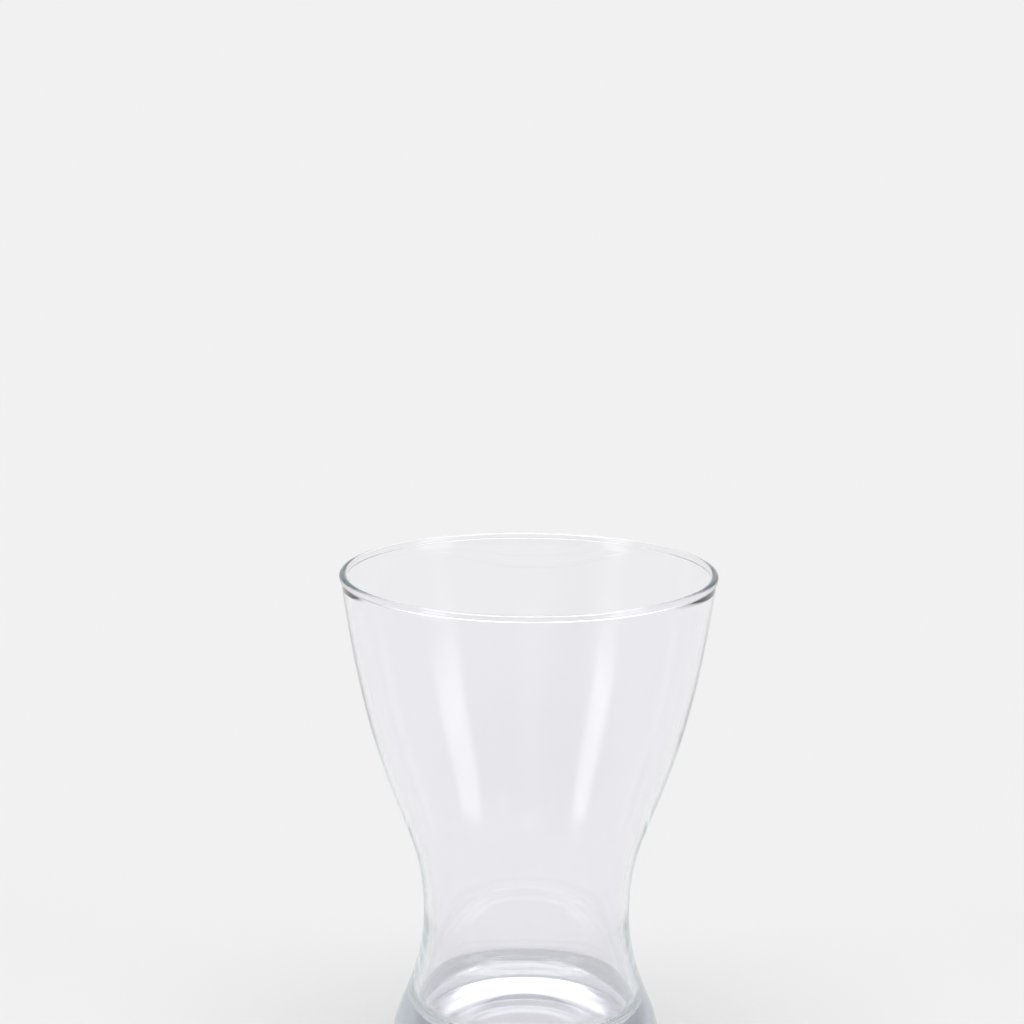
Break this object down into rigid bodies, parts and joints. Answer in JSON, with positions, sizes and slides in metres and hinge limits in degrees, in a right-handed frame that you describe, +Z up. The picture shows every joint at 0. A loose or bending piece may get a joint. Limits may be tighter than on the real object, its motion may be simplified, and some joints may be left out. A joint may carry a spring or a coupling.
{
  "type": "waisted glass flower vase",
  "caption": "Clear glass flower vase with a wide flared bowl, a narrow waist and a heavy spreading foot, open at the top, standing on a flat ring.",
  "frame": {"origin": "centre of the bearing ring, in the plane that the vase stands on", "axes": "+Z up along the axis of the vase, through the middle of its mouth; +X and +Y are alike, because the body is round"},
  "size_m": [0.172, 0.172, 0.23],
  "materials": {
    "clear_glass": "clear soda-lime glass, polished smooth, with a faint cool grey tint in its thick edges"
  },
  "bodies": {
    "root": {"vase_body": "clear_glass"}
  },
  "joints": []
}
